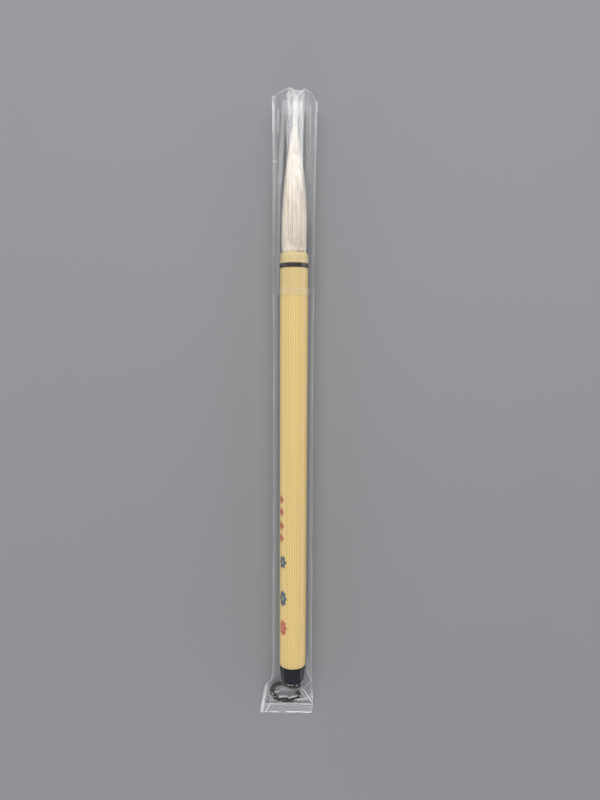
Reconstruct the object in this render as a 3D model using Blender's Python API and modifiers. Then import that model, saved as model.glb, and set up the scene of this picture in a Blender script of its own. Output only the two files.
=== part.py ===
"""A calligraphy brush with a clear cap and a hanging loop, lying in its film sleeve.

The brush lies along Y with its hair pointing to +Y and its hanging loop at the -Y end.
+X is to the right of a viewer who looks along +Y, and +Z is up. The origin is on the flat
underside of the sleeve, below the brush's axis, near the middle of its length.
"""

import math

import bmesh
import bpy
import numpy as np

MM = 0.001
GAP = 0.3 * MM  # kept between two pieces that touch
EDGE_EASE = 0.3 * MM  # taken off a lip's sharp edges

# Places along the brush's axis
AXIS_Z = 8.0 * MM
HAIR_TIP_Y = 126.2 * MM
COLLAR_LIP_Y = 69.6 * MM
RING_FRONT_Y = 64.8 * MM
RING_BACK_Y = 63.1 * MM
HANDLE_END_Y = -111.5 * MM
PLUG_END_Y = -119.1 * MM

# Handle tube
RIBS = 48
RIB_DEPTH = 0.10 * MM
HANDLE_FRONT_R = 6.0 * MM
HANDLE_BACK_R = 5.7 * MM
HANDLE_CHAMFER = 0.5 * MM
HANDLE_BORE_R = 4.0 * MM
COUNTERBORE_R = 5.1 * MM

# Hair collar, with its socket for the hair and its spigot in the handle, and the black ring on it
COLLAR_R = 6.1 * MM
COLLAR_ROUND = 1.2 * MM
COLLAR_MOUTH_R = 5.3 * MM
COLLAR_FLARE = 3.0 * MM
SPIGOT_R = 4.8 * MM
SPIGOT_END_Y = 50.5 * MM
SOCKET_R = 4.1 * MM
SOCKET_END_Y = 51.5 * MM
RING_R = 6.2 * MM

# Hair: (distance from the collar's lip, radius) in millimetres down to its point
HAIR_MOUTH_R = 5.0 * MM
HAIR_OUTLINE = (
    (1.5, 5.2),
    (13.0, 5.1),
    (21.0, 4.85),
    (29.5, 4.3),
    (37.6, 3.25),
    (45.7, 2.0),
    (53.8, 0.95),
    (56.5, 0.35),
)
HAIR_NECK_R = 3.8 * MM
HAIR_WAIST_R = 3.0 * MM
HAIR_ROOT_R = 3.6 * MM
HAIR_ROOT_Y = 54.6 * MM
CORE_ROOT_R = 1.6 * MM
CORE_BELLY_R = 2.2 * MM
CORE_BELLY_Y = 84.0 * MM
CORE_TIP_R = 0.4 * MM
CORE_TIP_Y = 103.0 * MM

# Root binding and glue
BINDING_BACK_Y = 56.6 * MM
BINDING_FRONT_Y = 60.6 * MM
BINDING_R = 3.8 * MM
BINDING_TURNS = 5
BINDING_GROOVE = 0.2 * MM
GLUE_R = 3.7 * MM

# End plug, with its stem, cord hole and knot pocket
PLUG_FRONT_R = 5.6 * MM
PLUG_BACK_R = 5.0 * MM
PLUG_ROUND = 1.8 * MM
STEM_R = 3.7 * MM
STEM_END_Y = -97.5 * MM
CORD_HOLE_R = 1.45 * MM
KNOT_POCKET_R = 2.7 * MM
KNOT_POCKET_Y = -105.5 * MM
KNOT_R = 2.2 * MM
KNOT_LENGTH = 4.0 * MM

# Hanging loop: one cord that runs out beside this route and back along its other side.
# The points are (X, Y, Z) in millimetres.
CORD_D = 1.0 * MM
STRAND_SPACING = 1.3 * MM
LOOP_ROUTE = (
    (0.0, -105.6, 8.0),
    (0.0, -112.0, 8.0),
    (0.0, -119.2, 8.0),
    (0.6, -122.0, 7.4),
    (1.8, -124.4, 5.8),
    (2.6, -126.8, 3.9),
    (2.5, -129.0, 2.4),
    (1.2, -130.7, 1.5),
    (-1.4, -131.3, 1.2),
    (-4.4, -131.2, 1.2),
    (-7.1, -130.4, 1.3),
    (-8.8, -128.7, 1.5),
    (-9.2, -126.6, 1.6),
    (-8.4, -124.7, 1.5),
    (-6.5, -123.6, 1.4),
    (-3.8, -123.4, 1.3),
    (-1.0, -123.7, 1.2),
    (1.2, -124.0, 1.2),
)
BIGHT_R = 2.1 * MM
BIGHT_FLARE = 6.0 * MM
CORD_STEP = 2.3 * MM

# Clear cap
CAP_MOUTH_Y = 51.6 * MM
CAP_END_Y = 133.4 * MM
CAP_WALL = 0.6 * MM
CAP_LIP_R = 7.5 * MM
CAP_LIP_WIDTH = 2.1 * MM
CAP_MOUTH_R = 7.2 * MM
CAP_END_R = 6.05 * MM
CAP_ROUND = 3.0 * MM

# Film sleeve: (Y, left edge, right edge, height) in millimetres at each station
FILM = 0.2
SEAL_THICKNESS = 0.5
SLEEVE_STATIONS = (
    (-137.8, -14.8, 8.7, SEAL_THICKNESS),
    (-133.7, -14.3, 9.3, SEAL_THICKNESS),
    (-132.6, -14.1, 9.3, 2.9),
    (-129.5, -13.6, 9.2, 5.2),
    (-125.5, -13.0, 9.0, 8.2),
    (-122.5, -12.4, 8.8, 10.6),
    (-120.0, -10.6, 8.8, 12.4),
    (-117.5, -9.2, 8.7, 14.2),
    (-111.0, -8.8, 8.7, 14.7),
    (-98.0, -8.9, 8.8, 14.8),
    (-20.0, -8.8, 8.8, 14.9),
    (40.0, -8.9, 8.9, 15.4),
    (50.0, -9.1, 9.1, 16.1),
    (100.0, -9.2, 9.2, 16.2),
    (137.0, -9.6, 9.6, 16.4),
)
SLEEVE_SIDES = 32
SLEEVE_CROWN = 0.8  # 1 makes a section's upper half an ellipse, and less makes it squarer
SLEEVE_BELLY = 0.4  # the same for its lower half, which lies nearly flat
FLAT_DEPTH = 0.3  # how far a section would reach below the flat underside

TURN_STEPS = 48
INNER_STEPS = 24  # for small pieces that are closed in
ARC_STEPS = 5
LAID_DOWN = (math.radians(-90), 0.0, 0.0)  # turns a piece's own Z to the brush's Y


def clear_scene():
    """Remove every object, so that the file holds only this model."""
    for thing in list(bpy.data.objects):
        bpy.data.objects.remove(thing)


def make_collection(name):
    collection = bpy.data.collections.new(name)
    bpy.context.scene.collection.children.link(collection)
    return collection


def make_material(name, colour, roughness, alpha=1.0):
    material = bpy.data.materials.new(name)
    material.use_nodes = True
    shader = material.node_tree.nodes["Principled BSDF"]
    shader.inputs["Base Color"].default_value = (*colour, 1.0)
    shader.inputs["Roughness"].default_value = roughness
    shader.inputs["Metallic"].default_value = 0.0
    shader.inputs["Alpha"].default_value = alpha
    return material


def add_object(name, data, collection, material=None, parent=None):
    thing = bpy.data.objects.new(name, data)
    thing.parent = parent
    collection.objects.link(thing)
    if material:
        data.materials.append(material)
    return thing


def finished_mesh(name, work):
    """Make a smooth mesh of a bmesh, with its faces outward and its hard edges kept."""
    bmesh.ops.recalc_face_normals(work, faces=work.faces)
    mesh = bpy.data.meshes.new(name)
    work.to_mesh(mesh)
    work.free()
    mesh.shade_smooth()
    mesh.set_sharp_from_angle(angle=math.radians(35))
    return mesh


def arc(centre_y, centre_r, radius, start, end):
    """Points (y, r) on an arc. Angles are in degrees, from the +Y direction towards larger r."""
    angles = np.radians(np.linspace(start, end, ARC_STEPS + 1))
    return [(centre_y + radius * math.cos(a), centre_r + radius * math.sin(a)) for a in angles]


def turned(name, profile, closed, collection, material, parent, origin_y=0.0, steps=TURN_STEPS):
    """Turn a profile of (y, r) points round the brush's axis with a Screw modifier.

    The profile runs from +Y to -Y along the outer side. A closed one is a ring's section, and
    an open one has both ends on the axis. The piece's origin is on the axis, at origin_y.
    """
    mesh = bpy.data.meshes.new(name)
    count = len(profile)
    edges = [(i, (i + 1) % count) for i in range(count if closed else count - 1)]
    mesh.from_pydata([(r, 0.0, y - origin_y) for y, r in profile], edges, [])
    piece = add_object(name, mesh, collection, material, parent)
    piece.location = (0.0, origin_y, 0.0)
    piece.rotation_euler = LAID_DOWN
    screw = piece.modifiers.new("Turn", "SCREW")
    screw.steps = steps
    screw.render_steps = steps
    screw.use_merge_vertices = True
    screw.merge_threshold = 1e-6
    screw.use_smooth_shade = True
    return piece


def cut_bore(piece, name, radius, low_y, high_y, cutters, parent):
    """Cut a round hole along the brush's axis from low_y to high_y."""
    work = bmesh.new()
    bmesh.ops.create_cone(
        work, cap_ends=True, segments=TURN_STEPS, radius1=radius, radius2=radius, depth=high_y - low_y
    )
    cutter = add_object(name, finished_mesh(name, work), cutters, parent=parent)
    cutter.location = (0.0, (low_y + high_y) / 2, 0.0)
    cutter.rotation_euler = LAID_DOWN
    cutter.hide_render = True
    cutter.display_type = "WIRE"
    boolean = piece.modifiers.new(name, "BOOLEAN")
    boolean.operation = "DIFFERENCE"
    boolean.object = cutter


def make_handle(parts, cutters, axis):
    """A tapered rod with a chamfered back end, ribs made by sinking every second edge, and a bore."""
    front = RING_BACK_Y - GAP / 2
    back = HANDLE_END_Y + HANDLE_CHAMFER
    work = bmesh.new()
    bmesh.ops.create_cone(
        work,
        cap_ends=True,
        segments=2 * RIBS,
        radius1=HANDLE_BACK_R,
        radius2=HANDLE_FRONT_R,
        depth=front - back,
    )
    work.faces.ensure_lookup_table()
    back_cap = min(work.faces, key=lambda face: face.calc_center_median().z)
    grown = bmesh.ops.extrude_face_region(work, geom=[back_cap])["geom"]
    bmesh.ops.delete(work, geom=[back_cap], context="FACES_ONLY")
    for point in [item for item in grown if isinstance(item, bmesh.types.BMVert)]:
        point.co.xy *= 1 - HANDLE_CHAMFER / HANDLE_BACK_R
        point.co.z -= HANDLE_CHAMFER
    for point in work.verts:
        edge_number = round(math.atan2(point.co.y, point.co.x) / math.tau * 2 * RIBS)
        if edge_number % 2:
            point.co.xy *= 1 - RIB_DEPTH / point.co.xy.length
    mesh = finished_mesh("handle_tube", work)
    material = make_material("cream ribbed plastic", (0.74, 0.56, 0.25), 0.42)
    handle = add_object("handle_tube", mesh, parts, material, axis)
    handle.location = (0.0, (front + back) / 2, 0.0)
    handle.rotation_euler = LAID_DOWN
    past = 2 * MM
    cut_bore(handle, "bore", HANDLE_BORE_R, HANDLE_END_Y - past, front + past, cutters, axis)
    seat = SPIGOT_END_Y - GAP
    cut_bore(handle, "counterbore", COUNTERBORE_R, seat, front + past, cutters, axis)


def make_collar(parts, axis):
    """The socket's floor and wall, over the rounded lip, down the outside and along the spigot."""
    shoulder = RING_FRONT_Y + GAP / 2
    round_y = COLLAR_LIP_Y - COLLAR_ROUND
    round_r = COLLAR_R - COLLAR_ROUND
    profile = [
        (SOCKET_END_Y, 0.0),
        (SOCKET_END_Y, SOCKET_R),
        (COLLAR_LIP_Y - COLLAR_FLARE, SOCKET_R),
        (COLLAR_LIP_Y - EDGE_EASE, COLLAR_MOUTH_R),
    ]
    profile += arc(round_y, round_r, COLLAR_ROUND, 30, 90)
    profile += [
        (shoulder, COLLAR_R),
        (shoulder, SPIGOT_R),
        (SPIGOT_END_Y, SPIGOT_R),
        (SPIGOT_END_Y, 0.0),
    ]
    material = make_material("cream collar plastic", (0.76, 0.61, 0.30), 0.35)
    turned("hair_collar", profile, False, parts, material, axis)


def make_ring(parts, axis):
    front = RING_FRONT_Y - GAP / 2
    back = RING_BACK_Y + GAP / 2
    profile = [(front, RING_R), (back, RING_R), (back, COUNTERBORE_R), (front, COUNTERBORE_R)]
    material = make_material("black gloss ring", (0.012, 0.012, 0.014), 0.2)
    turned("black_ring", profile, True, parts, material, axis)


def make_outer_hair(parts, axis):
    """The long hair outside, and inside it the hollow that the core hair fills."""
    profile = [(HAIR_TIP_Y, 0.0)]
    profile += [(COLLAR_LIP_Y + d * MM, r * MM) for d, r in reversed(HAIR_OUTLINE)]
    profile += [
        (COLLAR_LIP_Y, HAIR_MOUTH_R),
        (COLLAR_LIP_Y - COLLAR_FLARE, HAIR_NECK_R),
        (BINDING_FRONT_Y + GAP, HAIR_WAIST_R),
        (BINDING_BACK_Y - GAP, HAIR_WAIST_R),
        (HAIR_ROOT_Y + GAP, HAIR_ROOT_R),
        (HAIR_ROOT_Y, HAIR_ROOT_R),
        (HAIR_ROOT_Y, CORE_ROOT_R + GAP),
        (BINDING_FRONT_Y, CORE_ROOT_R + GAP),
        (CORE_BELLY_Y, CORE_BELLY_R + GAP),
        (CORE_TIP_Y, CORE_TIP_R + GAP),
        (CORE_TIP_Y + 2 * GAP, 0.0),
    ]
    material = make_material("white goat hair", (0.90, 0.84, 0.74), 0.6)
    turned("outer_hair", profile, False, parts, material, axis)


def make_core_hair(parts, axis):
    profile = [
        (CORE_TIP_Y, 0.0),
        (CORE_TIP_Y - GAP, CORE_TIP_R),
        (CORE_BELLY_Y, CORE_BELLY_R),
        (BINDING_FRONT_Y, CORE_ROOT_R),
        (HAIR_ROOT_Y, CORE_ROOT_R),
        (HAIR_ROOT_Y, 0.0),
    ]
    material = make_material("stiff core hair", (0.62, 0.48, 0.33), 0.65)
    turned("core_hair", profile, False, parts, material, axis, steps=INNER_STEPS)


def make_root_binding(parts, axis):
    """A winding of thread whose outside is a row of half-rounds, one for each turn."""
    steps = 4 * BINDING_TURNS
    profile = []
    for i in range(steps + 1):
        share = i / steps
        y = BINDING_FRONT_Y + (BINDING_BACK_Y - BINDING_FRONT_Y) * share
        bulge = abs(math.sin(math.pi * BINDING_TURNS * share))
        profile.append((y, BINDING_R - BINDING_GROOVE * (1 - bulge)))
    inner = HAIR_WAIST_R + GAP
    profile += [(BINDING_BACK_Y, inner), (BINDING_FRONT_Y, inner)]
    material = make_material("pale binding thread", (0.70, 0.66, 0.56), 0.8)
    turned("root_binding", profile, True, parts, material, axis, steps=INNER_STEPS)


def make_root_glue(parts, axis):
    front = HAIR_ROOT_Y - GAP
    back = SOCKET_END_Y + GAP
    profile = [(front, 0.0), (front, GLUE_R), (back, GLUE_R), (back, 0.0)]
    material = make_material("amber glue", (0.50, 0.26, 0.07), 0.25)
    turned("root_glue", profile, False, parts, material, axis, steps=INNER_STEPS)


def make_end_plug(parts, axis):
    """A stem in the handle's bore and a tapered head, with a cord hole that opens to a knot pocket."""
    shoulder = HANDLE_END_Y - GAP
    profile = [(STEM_END_Y, STEM_R), (shoulder, STEM_R), (shoulder, PLUG_FRONT_R)]
    round_y = PLUG_END_Y + PLUG_ROUND
    profile += arc(round_y, PLUG_BACK_R - PLUG_ROUND, PLUG_ROUND, 90, 180)
    profile += [
        (PLUG_END_Y, CORD_HOLE_R),
        (KNOT_POCKET_Y, CORD_HOLE_R),
        (KNOT_POCKET_Y, KNOT_POCKET_R),
        (STEM_END_Y, KNOT_POCKET_R),
    ]
    material = make_material("black end plastic", (0.028, 0.032, 0.042), 0.35)
    turned("end_plug", profile, True, parts, material, axis)


def make_loop_knot(parts, axis):
    work = bmesh.new()
    bmesh.ops.create_uvsphere(work, u_segments=16, v_segments=10, radius=KNOT_R)
    stretch = KNOT_LENGTH / (2 * KNOT_R)
    bmesh.ops.scale(work, vec=(1.0, stretch, 1.0), verts=work.verts)
    material = make_material("maroon cord knot", (0.045, 0.020, 0.022), 0.8)
    knot = add_object("loop_knot", finished_mesh("loop_knot", work), parts, material, axis)
    knot.location = (0.0, KNOT_POCKET_Y + GAP + KNOT_LENGTH / 2, 0.0)


def smooth_curve(points, per_span=12):
    """A Catmull-Rom curve through the points, with its end tangents along its end spans."""
    p = np.array(points)
    p = np.vstack([2 * p[0] - p[1], p, 2 * p[-1] - p[-2]])
    t = np.linspace(0, 1, per_span, endpoint=False)[:, None]
    spans = []
    for a, b, c, d in zip(p[:-3], p[1:-2], p[2:-1], p[3:]):
        spans.append(
            0.5 * (2 * b + (c - a) * t + (2 * a - 5 * b + 4 * c - d) * t**2 + (3 * b - a - 3 * c + d) * t**3)
        )
    return np.vstack([*spans, p[-2][None]])


def evenly_spaced(line, step):
    """The line's points, respaced as near to the step as makes them even."""
    along = np.concatenate([[0.0], np.cumsum(np.linalg.norm(np.diff(line, axis=0), axis=1))])
    wanted = np.linspace(0, along[-1], round(along[-1] / step) + 1)
    return np.stack([np.interp(wanted, along, line[:, k]) for k in range(3)], axis=1)


def loop_centreline():
    """The cord's whole path: out beside the route, round the bight, and back on the other side.

    Each side keeps half the strand spacing from the route, measured level and square to it.
    Near the end the two sides part smoothly until the bight, a half circle, can join them.
    """
    route = evenly_spaced(smooth_curve(LOOP_ROUTE) * MM, 0.25 * MM)
    heading = np.gradient(route, axis=0)
    heading[:, 2] = 0.0
    heading /= np.linalg.norm(heading, axis=1)[:, None]
    side = np.stack([heading[:, 1], -heading[:, 0], np.zeros(len(route))], axis=1)
    to_end = 0.25 * MM * np.arange(len(route))[::-1]
    share = np.clip(1 - to_end / BIGHT_FLARE, 0, 1)
    share = share**2 * (3 - 2 * share)
    half = (STRAND_SPACING / 2 + (BIGHT_R - STRAND_SPACING / 2) * share)[:, None]
    turn = np.linspace(0, math.pi, 16)[1:-1, None]
    bight = route[-1] + BIGHT_R * (np.cos(turn) * side[-1] + np.sin(turn) * heading[-1])
    return np.vstack([route + half * side, bight, (route - half * side)[::-1]])


def make_hanging_loop(parts):
    points = evenly_spaced(loop_centreline(), CORD_STEP)
    curve = bpy.data.curves.new("hanging_loop", "CURVE")
    curve.dimensions = "3D"
    curve.bevel_depth = CORD_D / 2
    curve.bevel_resolution = 2
    curve.use_fill_caps = True
    spline = curve.splines.new("POLY")
    spline.points.add(len(points) - 1)
    for place, point in zip(points, spline.points):
        point.co = (*place, 1.0)
    material = make_material("maroon cord", (0.045, 0.020, 0.022), 0.8)
    add_object("hanging_loop", curve, parts, material)


def make_cap(parts, axis):
    """The cap's outside from its closed end to its lip, and its inside back to the end."""
    end_r = CAP_END_R - CAP_ROUND
    end_y = CAP_END_Y - CAP_ROUND
    lip_back = CAP_MOUTH_Y + CAP_LIP_WIDTH
    profile = [(CAP_END_Y, 0.0)]
    profile += arc(end_y, end_r, CAP_ROUND, 0, 90)
    profile += [
        (lip_back + EDGE_EASE, CAP_MOUTH_R),
        (lip_back, CAP_LIP_R - EDGE_EASE / 2),
        (lip_back - EDGE_EASE, CAP_LIP_R),
        (CAP_MOUTH_Y + EDGE_EASE, CAP_LIP_R),
        (CAP_MOUTH_Y, CAP_LIP_R - EDGE_EASE),
        (CAP_MOUTH_Y, CAP_MOUTH_R - CAP_WALL),
    ]
    profile += reversed(arc(end_y, end_r, CAP_ROUND - CAP_WALL, 0, 90))
    profile += [(CAP_END_Y - CAP_WALL, 0.0)]
    material = make_material("clear cap plastic", (0.95, 0.96, 0.96), 0.06, alpha=0.3)
    turned("clear_cap", profile, False, parts, material, axis, origin_y=CAP_MOUTH_Y)


def sleeve_ring(work, station, wall):
    """One section of the sleeve, drawn in by the wall: a flat-bottomed superellipse."""
    y, left, right, height = station
    centre = (left + right) / 2
    half_width = (right - left) / 2 - wall
    low = wall
    high = height - wall
    flat = min(FLAT_DEPTH, (high - low) / 4)
    half_height = (high - low + flat) / 2
    ring = []
    for i in range(SLEEVE_SIDES):
        turn = math.tau * i / SLEEVE_SIDES
        x = math.copysign(abs(math.cos(turn)) ** SLEEVE_CROWN, math.cos(turn))
        squareness = SLEEVE_CROWN if i < SLEEVE_SIDES // 2 else SLEEVE_BELLY
        z = math.copysign(abs(math.sin(turn)) ** squareness, math.sin(turn))
        z = max(low, high - half_height + half_height * z)
        ring.append(work.verts.new((MM * (centre + half_width * x), MM * y, MM * z)))
    return ring


def close_ring(work, ring):
    """Close a section with strips between its upper and lower halves."""
    count = len(ring)
    work.faces.new((ring[0], ring[1], ring[-1]))
    for i in range(1, count // 2 - 1):
        work.faces.new((ring[i], ring[i + 1], ring[count - i - 1], ring[count - i]))
    middle = count // 2
    work.faces.new((ring[middle - 1], ring[middle], ring[middle + 1]))


def make_sleeve(parts):
    """A loft along the outside from the seal to the mouth, and back along the inside to the seal."""
    work = bmesh.new()
    rings = [sleeve_ring(work, station, 0.0) for station in SLEEVE_STATIONS]
    rings += [sleeve_ring(work, station, FILM) for station in reversed(SLEEVE_STATIONS[1:])]
    for first, second in zip(rings, rings[1:]):
        for i in range(SLEEVE_SIDES):
            j = (i + 1) % SLEEVE_SIDES
            work.faces.new((first[i], first[j], second[j], second[i]))
    close_ring(work, rings[0])
    close_ring(work, rings[-1])
    material = make_material("clear film", (0.97, 0.98, 0.98), 0.08, alpha=0.15)
    add_object("film_sleeve", finished_mesh("film_sleeve", work), parts, material)


def main():
    clear_scene()
    parts = make_collection("calligraphy_brush")
    cutters = make_collection("cutters")
    axis = add_object("brush_axis", None, parts)
    axis.location = (0.0, 0.0, AXIS_Z)
    make_handle(parts, cutters, axis)
    make_collar(parts, axis)
    make_ring(parts, axis)
    make_outer_hair(parts, axis)
    make_core_hair(parts, axis)
    make_root_binding(parts, axis)
    make_root_glue(parts, axis)
    make_end_plug(parts, axis)
    make_loop_knot(parts, axis)
    make_hanging_loop(parts)
    make_cap(parts, axis)
    make_sleeve(parts)


main()
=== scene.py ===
"""The looks of a calligraphy brush in its clear cap and film sleeve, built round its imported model.

Lengths are in metres. The brush lies along Y with its hair towards +Y and its hanging loop towards
-Y, its axis lies over X = 0, and the sleeve rests on Z = 0. Every new piece is a surface worked out
on a grid of two parameters, and its place is in its mesh.
"""

import sys

import logging
import math
from dataclasses import dataclass
from enum import Enum

import bpy
import numpy as np
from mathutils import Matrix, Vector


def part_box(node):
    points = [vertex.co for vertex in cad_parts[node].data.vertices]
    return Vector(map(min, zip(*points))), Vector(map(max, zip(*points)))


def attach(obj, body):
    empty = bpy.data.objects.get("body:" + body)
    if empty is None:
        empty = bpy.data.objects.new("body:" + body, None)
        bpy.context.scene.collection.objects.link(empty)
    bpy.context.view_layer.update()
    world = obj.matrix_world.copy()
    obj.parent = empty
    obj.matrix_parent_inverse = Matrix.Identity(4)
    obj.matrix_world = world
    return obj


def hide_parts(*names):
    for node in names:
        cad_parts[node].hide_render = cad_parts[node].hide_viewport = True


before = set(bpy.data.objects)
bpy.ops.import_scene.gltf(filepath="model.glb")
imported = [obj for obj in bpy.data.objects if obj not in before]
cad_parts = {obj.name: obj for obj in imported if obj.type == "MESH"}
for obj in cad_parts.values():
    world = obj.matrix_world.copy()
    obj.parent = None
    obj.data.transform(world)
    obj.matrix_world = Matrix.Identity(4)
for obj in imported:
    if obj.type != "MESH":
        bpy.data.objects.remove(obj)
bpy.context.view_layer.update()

MM = 0.001
TURN = 2 * math.pi
RIBS = 48  # round the handle, and carried on over the collar
Colour = tuple[float, float, float]
Point = tuple[float, float, float]
log = logging.getLogger("calligraphy_brush")


# --- Grids and meshes -----------------------------------------------------------------------------


@dataclass
class Span:
    """Where a CAD node lies: its two ends along the brush, its radius and its axis's height."""

    back: float
    front: float
    radius: float
    axis_z: float


def node_span(node: str) -> Span:
    """Reads a CAD node's place from its box."""
    low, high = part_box(node)
    return Span(low[1], high[1], (high[0] - low[0]) / 2, (low[2] + high[2]) / 2)


def smooth_step(value: np.ndarray, start: float, end: float) -> np.ndarray:
    """0 before start, 1 after end, and an S-curve 3t^2 - 2t^3 between them."""
    share = np.clip((value - start) / (end - start), 0, 1)
    return share * share * (3 - 2 * share)


def bell(distance: np.ndarray, width: float, power: int = 2) -> np.ndarray:
    """1 at no distance and exp(-(distance / width)^power) away from it."""
    return np.exp(-((distance / width) ** power))


def full_turn(steps: int) -> np.ndarray:
    """Even angles once round, without the last one, which is the first again."""
    return np.linspace(0, TURN, steps, endpoint=False)


def arc(y: float, r: float, radius: float, degrees: tuple[float, float], steps: int) -> np.ndarray:
    """Rows on a circle round (y, r), from one angle to another, measured from +Y outwards."""
    swing = np.radians(np.linspace(*degrees, steps))
    return np.column_stack([y + radius * np.cos(swing), r + radius * np.sin(swing)])


def rib_groove(turns: np.ndarray) -> np.ndarray:
    """How deep a point lies between the ribs: 1 - |sin(ribs a / 2)|^0.7."""
    return 1 - np.abs(np.sin(RIBS * turns / 2)) ** 0.7


def unit(rows: np.ndarray) -> np.ndarray:
    """Each row shrunk or stretched to a length of 1."""
    return rows / np.linalg.norm(rows, axis=1, keepdims=True)


def distances(line: np.ndarray) -> np.ndarray:
    """How far along the line each of its points is."""
    return np.concatenate([[0.0], np.cumsum(np.linalg.norm(np.diff(line, axis=0), axis=1))])


def smooth_curve(points: np.ndarray, per_span: int = 12) -> np.ndarray:
    """A Catmull-Rom curve through the points, with its end tangents along its end spans.

    Args:
        points: One row for each point.
        per_span: Steps between two neighbouring points.

    Returns:
        The curve's points, one row each.
    """
    p = np.vstack([2 * points[0] - points[1], points, 2 * points[-1] - points[-2]])
    t = np.linspace(0, 1, per_span, endpoint=False)[:, None]
    spans = [
        0.5 * (2 * b + (c - a) * t + (2 * a - 5 * b + 4 * c - d) * t**2 + (3 * b - a - 3 * c + d) * t**3)
        for a, b, c, d in zip(p[:-3], p[1:-2], p[2:-1], p[3:])
    ]
    return np.vstack([*spans, p[-2][None]])


def steady_curve(at: np.ndarray, knots: np.ndarray, values: np.ndarray) -> np.ndarray:
    """A smooth curve through (knot, value) pairs that never swings past them.

    Between two knots it is a cubic v0 (1 - e) + v1 e + w t (1 - t) (m0 (1 - t) - m1 t), where
    e = 3t^2 - 2t^3 and w is the span. A knot's slope m is the harmonic mean of the slopes of its
    two spans, or zero where these differ in sign.

    Args:
        at: Where the curve is wanted.
        knots: The rising knots.
        values: The value at each knot.

    Returns:
        The curve's values, in the shape of at.
    """
    rise = np.diff(values) / np.diff(knots)
    same = rise[:-1] * rise[1:] > 0
    total = np.where(same, rise[:-1] + rise[1:], 1.0)
    slopes = np.concatenate([rise[:1], np.where(same, 2 * rise[:-1] * rise[1:] / total, 0.0), rise[-1:]])
    span = np.clip(np.searchsorted(knots, at, side="right") - 1, 0, len(rise) - 1)
    width = knots[span + 1] - knots[span]
    t = np.clip((at - knots[span]) / width, 0, 1)
    ease = (3 - 2 * t) * t * t
    bow = width * t * (1 - t) * (slopes[span] * (1 - t) - slopes[span + 1] * t)
    return values[span] * (1 - ease) + values[span + 1] * ease + bow


def evenly_spaced(line: np.ndarray, step: float) -> np.ndarray:
    """The line's points, respaced as near to the step as makes them even."""
    along = distances(line)
    wanted = np.linspace(0, along[-1], round(along[-1] / step) + 1)
    return np.stack([np.interp(wanted, along, line[:, k]) for k in range(3)], axis=1)


def round_corners(profile: np.ndarray, radius: float, steps: int = 4) -> np.ndarray:
    """Replaces each corner of an open profile with a parabola that starts a radius before it.

    A corner c with neighbours p and n becomes (1-t)^2 a + 2t(1-t) c + t^2 b, where a and b lie on
    its two sides, no further from c than 0.45 of that side. The two ends stay.
    """
    previous, corner, following = profile[:-2], profile[1:-1], profile[2:]
    back, ahead = previous - corner, following - corner
    back_length = np.linalg.norm(back, axis=1, keepdims=True)
    ahead_length = np.linalg.norm(ahead, axis=1, keepdims=True)
    start = corner + back / back_length * np.minimum(radius, 0.45 * back_length)
    end = corner + ahead / ahead_length * np.minimum(radius, 0.45 * ahead_length)
    t = np.linspace(0, 1, steps + 1)[None, :, None]
    curve = (1 - t) ** 2 * start[:, None] + 2 * t * (1 - t) * corner[:, None] + t**2 * end[:, None]
    return np.vstack([profile[:1], curve.reshape(-1, 2), profile[-1:]])


def grid_faces(rows: int, columns: int, looped: bool = False) -> np.ndarray:
    """Quads round each row to the next one, and where looped from the last row to the first."""
    row = np.arange(rows if looped else rows - 1)[:, None]
    column = np.arange(columns)[None, :]
    near, far = row * columns, (row + 1) % rows * columns
    following = (column + 1) % columns
    quads = [near + column, near + following, far + following, far + column]
    return np.stack(np.broadcast_arrays(*quads), axis=-1).reshape(-1, 4)


def make_piece(
    name: str,
    points: np.ndarray,
    faces: list[list[int]],
    material: bpy.types.Material,
    sharp: float = 40.0,
    closed: bool = True,
) -> bpy.types.Object:
    """Puts points and faces in a new object at the origin, smooth, with its faces outward.

    Args:
        name: The piece's name.
        points: One row for each vertex.
        faces: Each face's vertex numbers.
        material: Its finish.
        sharp: Edges that turn by more than this many degrees stay hard.
        closed: Whether the volume's sign says which way the faces point.

    Returns:
        The new object.
    """
    mesh = bpy.data.meshes.new(name)
    mesh.from_pydata(points.tolist(), [], faces)
    if closed:
        mesh.calc_loop_triangles()
        corners = np.empty(3 * len(mesh.loop_triangles), np.int32)
        mesh.loop_triangles.foreach_get("vertices", corners)
        a, b, c = (points - points.mean(axis=0))[corners.reshape(-1, 3).T]
        if np.einsum("ij,ij->", a, np.cross(b, c)) < 0:
            mesh.flip_normals()
    mesh.shade_smooth()
    mesh.set_sharp_from_angle(angle=math.radians(sharp))
    mesh.materials.append(material)
    piece = bpy.data.objects.new(name, mesh)
    bpy.context.scene.collection.objects.link(piece)
    log.info("%s: %d faces", name, len(mesh.polygons))
    return piece


def add_values(piece: bpy.types.Object, name: str, values: np.ndarray) -> None:
    """Keeps one number for each vertex, which a material reads by its name."""
    attribute = piece.data.attributes.new(name, "FLOAT", "POINT")
    attribute.data.foreach_set("value", np.ascontiguousarray(values, np.float32).ravel())


def turned_faces(rings: int, sides: int, looped: bool) -> list[list[int]]:
    """A turned grid's quads, with a many-sided face over each end where it isn't looped."""
    faces = grid_faces(rings, sides, looped).tolist()
    if not looped:
        faces.append(list(range(sides))[::-1])
        faces.append(list(range((rings - 1) * sides, rings * sides)))
    return faces


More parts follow.
